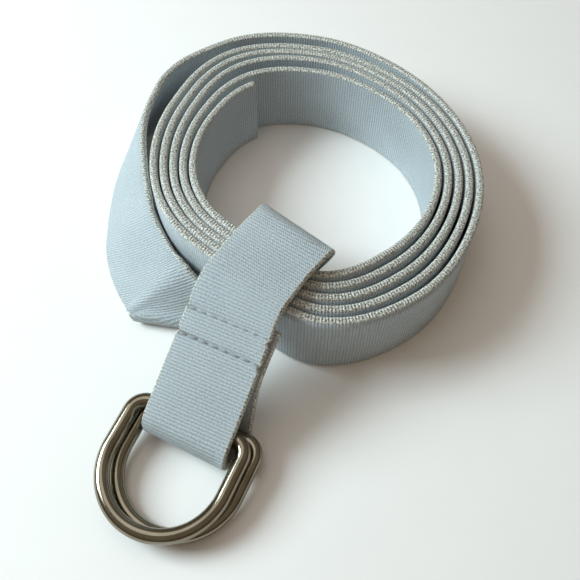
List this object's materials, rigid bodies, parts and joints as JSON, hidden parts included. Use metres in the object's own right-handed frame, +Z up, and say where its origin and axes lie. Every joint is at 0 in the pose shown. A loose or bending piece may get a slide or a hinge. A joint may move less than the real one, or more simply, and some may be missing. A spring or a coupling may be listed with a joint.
{
  "type": "double ring belt",
  "caption": "Rolled-up ribbed webbing belt with D rings sewn into one end, which the free end is threaded through to fasten it.",
  "frame": {"origin": "middle of the bounding box in plan, on the floor", "axes": "+Z up from the floor the belt lies on, +Y away from the rings, +X to the right seen from the rings"},
  "size_m": [0.1508, 0.2166, 0.0405],
  "materials": {
    "webbing": "ribbed woven webbing, pale silvery grey",
    "ring_metal": "polished dark nickel plate with a warm tone"
  },
  "bodies": {
    "strap": {"belt_strap": "webbing"},
    "front_ring": {"d_ring_front": "ring_metal"},
    "rear_ring": {"d_ring_rear": "ring_metal"}
  },
  "joints": [
    {"name": "front_ring_hinge", "type": "hinge", "parent": "strap", "child": "front_ring", "pos_m": [-0.03082, -0.06812, 0.01159], "axis": [-0.9135, 0.4067, 0], "range_deg": [0, 140]},
    {"name": "rear_ring_hinge", "type": "hinge", "parent": "strap", "child": "rear_ring", "pos_m": [-0.02968, -0.06556, 0.00633], "axis": [-0.9135, 0.4067, 0], "range_deg": [-150, 0]}
  ]
}
